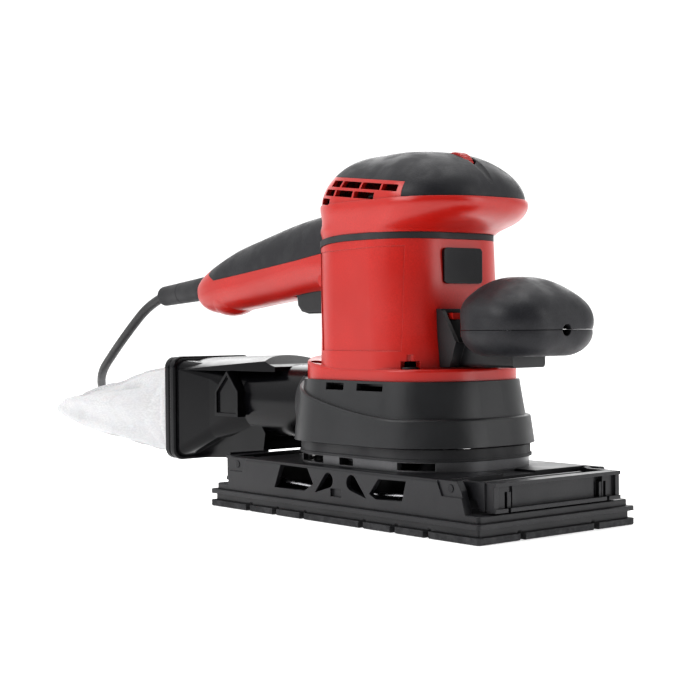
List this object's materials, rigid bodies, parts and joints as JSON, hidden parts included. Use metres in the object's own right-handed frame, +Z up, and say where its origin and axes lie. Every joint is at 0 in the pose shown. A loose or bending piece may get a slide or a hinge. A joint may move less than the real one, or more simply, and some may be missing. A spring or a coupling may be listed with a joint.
{
  "type": "half-sheet orbital sander",
  "caption": "Corded orbital sander with a rectangular clamp-on pad, rear trigger handle, front handle, dust box and cloth dust bag.",
  "frame": {"origin": "centre of the sanding face, the pad's underside", "axes": "+X towards the front handle along the tool's length, +Y to the operator's left, +Z up"},
  "size_m": [0.5177, 0.2455, 0.2004],
  "materials": {
    "red_plastic": "satin moulded",
    "soft_grip": "soft-touch, fine texture",
    "dark_plastic": "satin moulded",
    "black_plastic": "gloss black",
    "pad_grey": "cast, satin",
    "sole_foam": "cellular rubber",
    "satin_collar": "satin",
    "black_rubber": "matt",
    "cord_sheath": "satin rubber sheath",
    "dark_steel": "dark, oiled",
    "bright_steel": "bright",
    "lamination": "stacked sheet",
    "copper": "enamelled winding wire",
    "carbon": "pressed carbon",
    "name_gloss": "high gloss",
    "fleece": "white filter fleece"
  },
  "bodies": {
    "housing": {"fan_housing": "dark_plastic", "rubber_posts": "black_rubber", "bearing_plate": "black_plastic", "motor_housing": "red_plastic", "motor_stator": "lamination", "field_coils": "copper", "brush_holders": "black_plastic", "carbon_brushes": "carbon", "housing_screws": "dark_steel", "damping_strip": "black_rubber", "nameplate": "name_gloss", "head_housing": "red_plastic", "head_cap": "soft_grip", "bearing_bracket": "black_plastic", "lower_bearing": "bright_steel", "upper_bearing": "bright_steel", "speed_module": "black_plastic", "handle_cover": "soft_grip", "trigger_pin": "bright_steel", "switch_module": "black_plastic", "switch_cradle": "black_plastic", "cord_clamp": "black_plastic", "front_handle_bracket": "dark_plastic", "front_handle_lower": "soft_grip", "front_handle_upper": "soft_grip", "handle_bolt": "bright_steel", "strain_relief": "black_rubber", "cord_lead": "cord_sheath", "cord_coil": "cord_sheath", "coil_tie": "black_rubber", "plug": "cord_sheath", "plug_pins": "bright_steel"},
    "rotor": {"eccentric": "lamination", "motor_shaft": "bright_steel", "fan": "black_plastic", "armature_core": "lamination", "armature_windings": "copper", "commutator": "copper"},
    "pad": {"pad_sole": "sole_foam", "pad_plate": "pad_grey", "pad_carrier": "pad_grey", "pad_bearing": "bright_steel", "pad_collar": "satin_collar", "seal_ring": "black_rubber", "clamp_pins": "dark_steel", "clamp_wires": "bright_steel"},
    "front_clamp": {"front_paper_clamp": "pad_grey"},
    "rear_clamp": {"rear_paper_clamp": "pad_grey"},
    "speed_wheel": {"speed_dial": "red_plastic"},
    "trigger_lever": {"trigger": "dark_plastic"},
    "lock_pin": {"lock_button": "dark_plastic"},
    "dust_collector": {"dust_box": "black_plastic", "box_latches": "black_plastic", "bag_frame": "black_plastic", "dust_bag": "fleece"}
  },
  "joints": [
    {"name": "motor_spin", "type": "hinge", "parent": "housing", "child": "rotor", "pos_m": [-0.0013, 0, 0.1], "axis": [0, 0, 1], "continuous": true},
    {"name": "pad_orbit", "type": "hinge", "parent": "rotor", "child": "pad", "pos_m": [0, 0, 0.02], "axis": [0, 0, 1], "continuous": true},
    {"name": "front_clamp_lift", "type": "hinge", "parent": "pad", "child": "front_clamp", "pos_m": [0.0896, 0, 0.0256], "axis": [0, -1, 0], "range_deg": [0, 20], "stiffness_Nm_per_rad": 0.5, "springref_deg": -17.19},
    {"name": "rear_clamp_lift", "type": "hinge", "parent": "pad", "child": "rear_clamp", "pos_m": [-0.0896, 0, 0.0256], "axis": [0, 1, 0], "range_deg": [0, 20], "stiffness_Nm_per_rad": 0.5, "springref_deg": -17.19},
    {"name": "trigger_squeeze", "type": "hinge", "parent": "housing", "child": "trigger_lever", "pos_m": [-0.0545, 0, 0.132], "axis": [0, 1, 0], "range_deg": [0, 6], "stiffness_Nm_per_rad": 0.6, "springref_deg": -11.46},
    {"name": "lock_press", "type": "slide", "parent": "housing", "child": "lock_pin", "axis": [0, -1, 0], "range_m": [0, 0.0025], "stiffness_N_per_m": 400, "springref_m": -0.002},
    {"name": "speed_turn", "type": "hinge", "parent": "housing", "child": "speed_wheel", "pos_m": [0.04, 0, 0.1874], "axis": [0, 1, 0], "range_deg": [-140, 140]},
    {"name": "dust_box_pull", "type": "slide", "parent": "housing", "child": "dust_collector", "axis": [-1, 0, 0], "range_m": [0, 0.03]}
  ],
  "couplings": [
    {"joint": "pad_orbit", "follows": "motor_spin", "ratio": -1}
  ]
}
